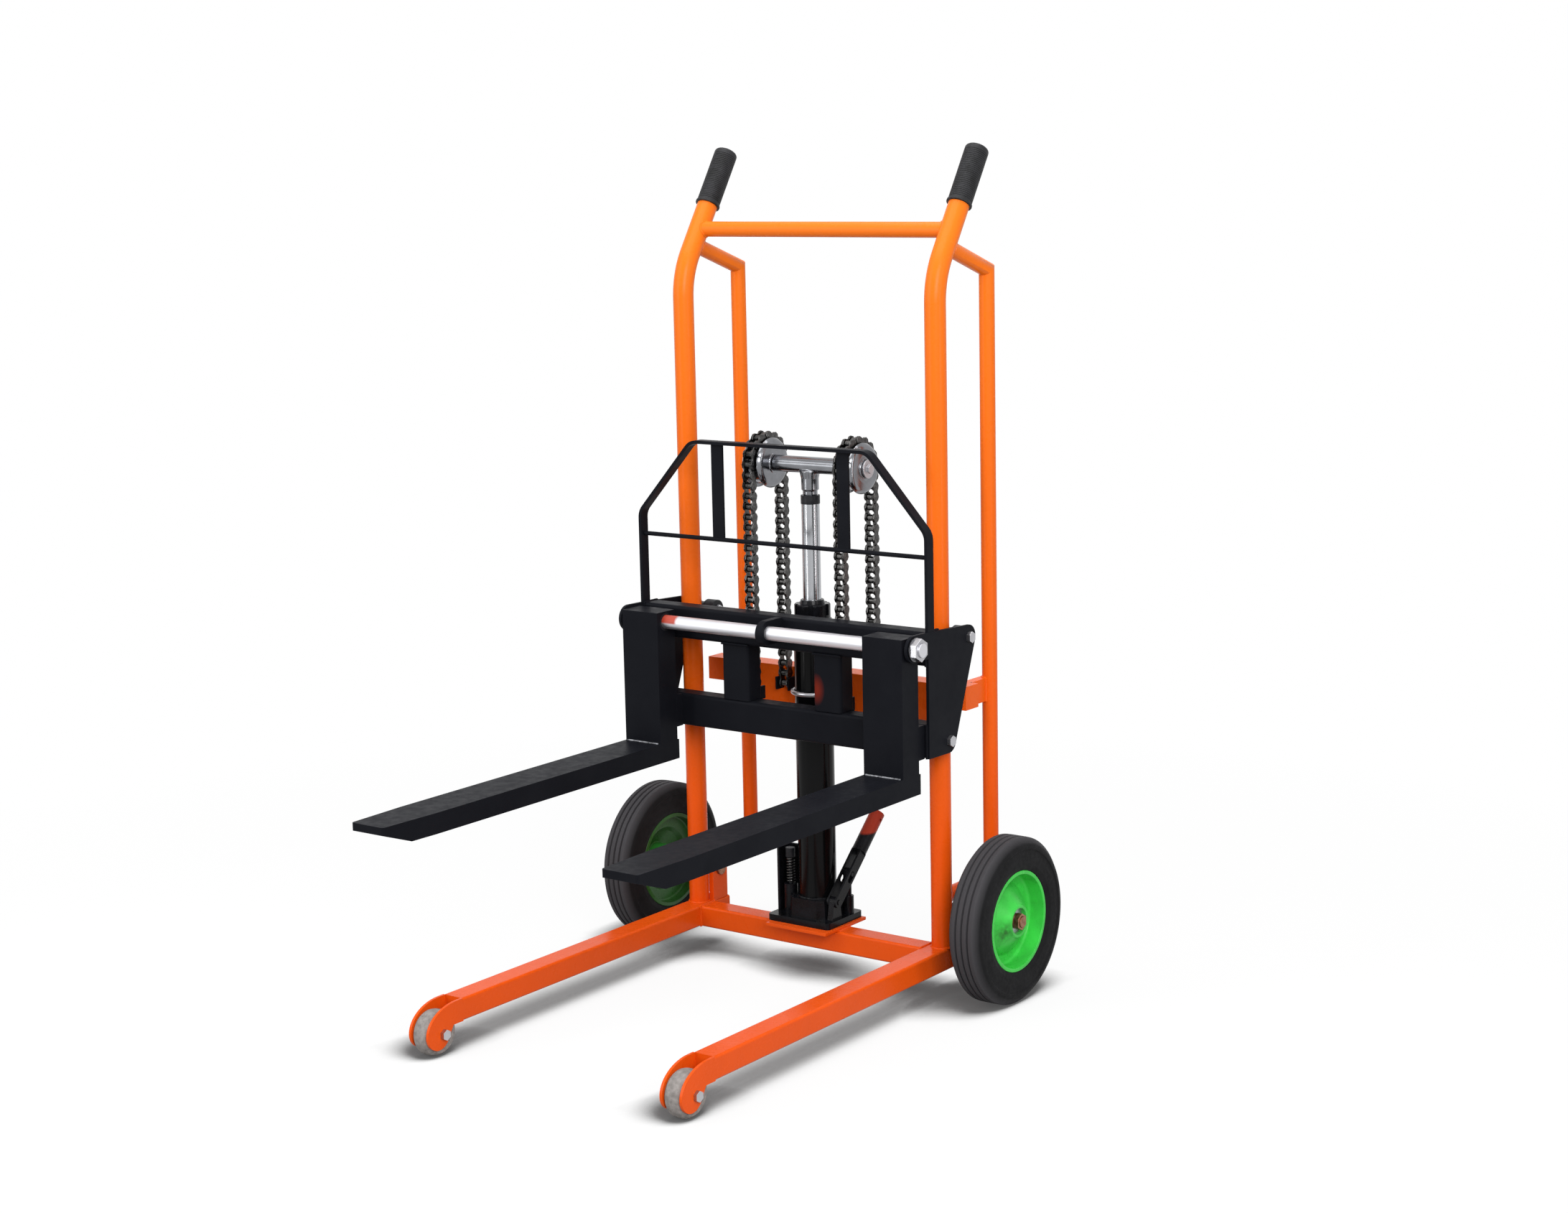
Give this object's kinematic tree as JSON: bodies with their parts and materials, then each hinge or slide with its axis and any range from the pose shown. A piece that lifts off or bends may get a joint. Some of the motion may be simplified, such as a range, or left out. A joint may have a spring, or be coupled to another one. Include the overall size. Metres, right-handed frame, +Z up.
{
  "type": "hydraulic fork lift truck",
  "caption": "Hand-pushed hydraulic lift truck: tube mast on two wheels, low legs with front rollers, and a jack that raises a fork carriage by roller chains.",
  "frame": {"origin": "on the floor in the middle of the footprint, between the fork tips and the wheels' rear", "axes": "+Z up, -Y forward along the forks, +X to the right seen from the front camera side"},
  "size_m": [0.854, 1.06, 1.5108],
  "materials": {
    "orange_paint": "gloss powder coat",
    "black_paint": "satin powder coat",
    "black_casting": "painted casting",
    "green_paint": "gloss",
    "hard_chrome": "polished",
    "bright_steel": "ground and zinc plated",
    "chain_steel": "oiled",
    "dark_steel": "oxide black",
    "rusty_steel": "weathered",
    "tyre_rubber": "matte",
    "grip_rubber": "ribbed",
    "roller_nylon": "worn"
  },
  "bodies": {
    "frame": {"base_legs": "orange_paint", "base_crossbar": "orange_paint", "jack_seat_plate": "orange_paint", "uprights": "orange_paint", "handle_crossbar": "orange_paint", "rear_struts": "orange_paint", "mast_tie_channel": "orange_paint", "axle_plates": "orange_paint", "stub_axles": "bright_steel", "axle_nuts": "rusty_steel", "hand_grips": "grip_rubber", "roller_bolts": "bright_steel", "jack_base": "black_casting", "release_bracket": "black_casting", "jack_cylinder": "black_paint", "gland_nut": "black_casting", "cylinder_saddle": "black_paint", "cylinder_u_bolt": "bright_steel", "pump_barrel": "black_casting", "lever_pin": "bright_steel", "chain_anchors_rear": "black_paint", "chain_runs_rear": "chain_steel", "release_spring": "bright_steel"},
    "ram": {"ram_rod": "hard_chrome", "ram_piston": "bright_steel", "stop_ring": "dark_steel", "ram_yoke": "bright_steel", "pulley_caps": "bright_steel", "chain_wraps": "chain_steel"},
    "carriage": {"carriage_side_plates": "black_paint", "carriage_crossbars": "black_paint", "carriage_posts": "black_paint", "fork_shaft": "bright_steel", "shaft_nuts": "bright_steel", "backrest": "black_paint", "guide_bolts": "bright_steel", "chain_anchors_front": "black_paint", "chain_runs_front": "chain_steel"},
    "pump_lever": {"pump_lever": "black_paint"},
    "pump_plunger": {"pump_plunger": "bright_steel"},
    "release": {"release_stem": "dark_steel"},
    "pulley_left": {"pulley_left": "bright_steel"},
    "pulley_right": {"pulley_right": "bright_steel"},
    "guide_upper_left": {"guide_roller_upper_left": "dark_steel"},
    "guide_upper_right": {"guide_roller_upper_right": "dark_steel"},
    "guide_lower_left": {"guide_roller_lower_left": "dark_steel"},
    "guide_lower_right": {"guide_roller_lower_right": "dark_steel"},
    "bush_left": {"fork_bush_left": "dark_steel"},
    "fork_left": {"fork_left": "black_paint"},
    "wheel_left": {"tyre_left": "tyre_rubber", "rim_left": "green_paint", "wheel_bearings_left": "bright_steel"},
    "front_roller_left": {"front_roller_left": "roller_nylon"},
    "bush_right": {"fork_bush_right": "dark_steel"},
    "fork_right": {"fork_right": "black_paint"},
    "wheel_right": {"tyre_right": "tyre_rubber", "rim_right": "green_paint", "wheel_bearings_right": "bright_steel"},
    "front_roller_right": {"front_roller_right": "roller_nylon"}
  },
  "joints": [
    {"name": "ram_lift", "type": "slide", "parent": "frame", "child": "ram", "axis": [0, 0, 1], "range_m": [-0.1524, 0.2667], "deforming": ["chain_runs_rear"]},
    {"name": "carriage_lift", "type": "slide", "parent": "ram", "child": "carriage", "axis": [0, 0, 1], "range_m": [-0.1524, 0.2667], "deforming": ["chain_runs_front"]},
    {"name": "pulley_left_spin", "type": "hinge", "parent": "ram", "child": "pulley_left", "pos_m": [-0.1, 0.35301, 0.9421], "axis": [1, 0, 0], "range_deg": [-315, 180]},
    {"name": "pulley_right_spin", "type": "hinge", "parent": "ram", "child": "pulley_right", "pos_m": [0.1, 0.35301, 0.9421], "axis": [1, 0, 0], "range_deg": [-315, 180]},
    {"name": "guide_upper_left_spin", "type": "hinge", "parent": "carriage", "child": "guide_upper_left", "pos_m": [-0.276, 0.38101, 0.652], "axis": [1, 0, 0], "range_deg": [-1279.7, 2235.8]},
    {"name": "guide_upper_right_spin", "type": "hinge", "parent": "carriage", "child": "guide_upper_right", "pos_m": [0.276, 0.38101, 0.652], "axis": [1, 0, 0], "range_deg": [-1279.7, 2235.8]},
    {"name": "guide_lower_left_spin", "type": "hinge", "parent": "carriage", "child": "guide_lower_left", "pos_m": [-0.276, 0.31501, 0.478], "axis": [1, 0, 0], "range_deg": [-2235.8, 1279.7]},
    {"name": "guide_lower_right_spin", "type": "hinge", "parent": "carriage", "child": "guide_lower_right", "pos_m": [0.276, 0.31501, 0.478], "axis": [1, 0, 0], "range_deg": [-2235.8, 1279.7]},
    {"name": "fork_left_slide", "type": "slide", "parent": "carriage", "child": "bush_left", "axis": [1, 0, 0], "range_m": [0, 0.21]},
    {"name": "fork_left_flip", "type": "hinge", "parent": "bush_left", "child": "fork_left", "pos_m": [-0.267, 0.20799, 0.658], "axis": [-1, 0, 0], "range_deg": [0, 110]},
    {"name": "wheel_left_spin", "type": "hinge", "parent": "frame", "child": "wheel_left", "pos_m": [-0.391, 0.38001, 0.15], "axis": [1, 0, 0], "continuous": true},
    {"name": "front_roller_left_spin", "type": "hinge", "parent": "frame", "child": "front_roller_left", "pos_m": [-0.272, -0.39099, 0.04], "axis": [1, 0, 0], "continuous": true},
    {"name": "fork_right_slide", "type": "slide", "parent": "carriage", "child": "bush_right", "axis": [-1, 0, 0], "range_m": [0, 0.21]},
    {"name": "fork_right_flip", "type": "hinge", "parent": "bush_right", "child": "fork_right", "pos_m": [0.267, 0.20799, 0.658], "axis": [-1, 0, 0], "range_deg": [0, 110]},
    {"name": "wheel_right_spin", "type": "hinge", "parent": "frame", "child": "wheel_right", "pos_m": [0.391, 0.38001, 0.15], "axis": [1, 0, 0], "continuous": true},
    {"name": "front_roller_right_spin", "type": "hinge", "parent": "frame", "child": "front_roller_right", "pos_m": [0.272, -0.39099, 0.04], "axis": [1, 0, 0], "continuous": true},
    {"name": "lever_stroke", "type": "hinge", "parent": "frame", "child": "pump_lever", "pos_m": [0.05, 0.33501, 0.14], "axis": [-1, 0, 0], "range_deg": [0, 20]},
    {"name": "plunger_stroke", "type": "slide", "parent": "frame", "child": "pump_plunger", "axis": [0, 0, -1], "range_m": [0, 0.0232]},
    {"name": "release_press", "type": "slide", "parent": "frame", "child": "release", "axis": [0, 0, -1], "range_m": [0, 0.005], "stiffness_N_per_m": 800, "springref_m": -0.004, "deforming": ["release_spring"]}
  ],
  "couplings": [
    {"joint": "carriage_lift", "follows": "ram_lift", "ratio": 1},
    {"joint": "pulley_left_spin", "follows": "ram_lift", "rad_per_m": -20.482},
    {"joint": "pulley_right_spin", "follows": "ram_lift", "rad_per_m": -20.482},
    {"joint": "guide_upper_left_spin", "follows": "ram_lift", "rad_per_m": 145.99},
    {"joint": "guide_upper_right_spin", "follows": "ram_lift", "rad_per_m": 145.99},
    {"joint": "guide_lower_left_spin", "follows": "ram_lift", "rad_per_m": -145.99},
    {"joint": "guide_lower_right_spin", "follows": "ram_lift", "rad_per_m": -145.99},
    {"joint": "plunger_stroke", "follows": "lever_stroke", "m_per_rad": 0.066282}
  ]
}
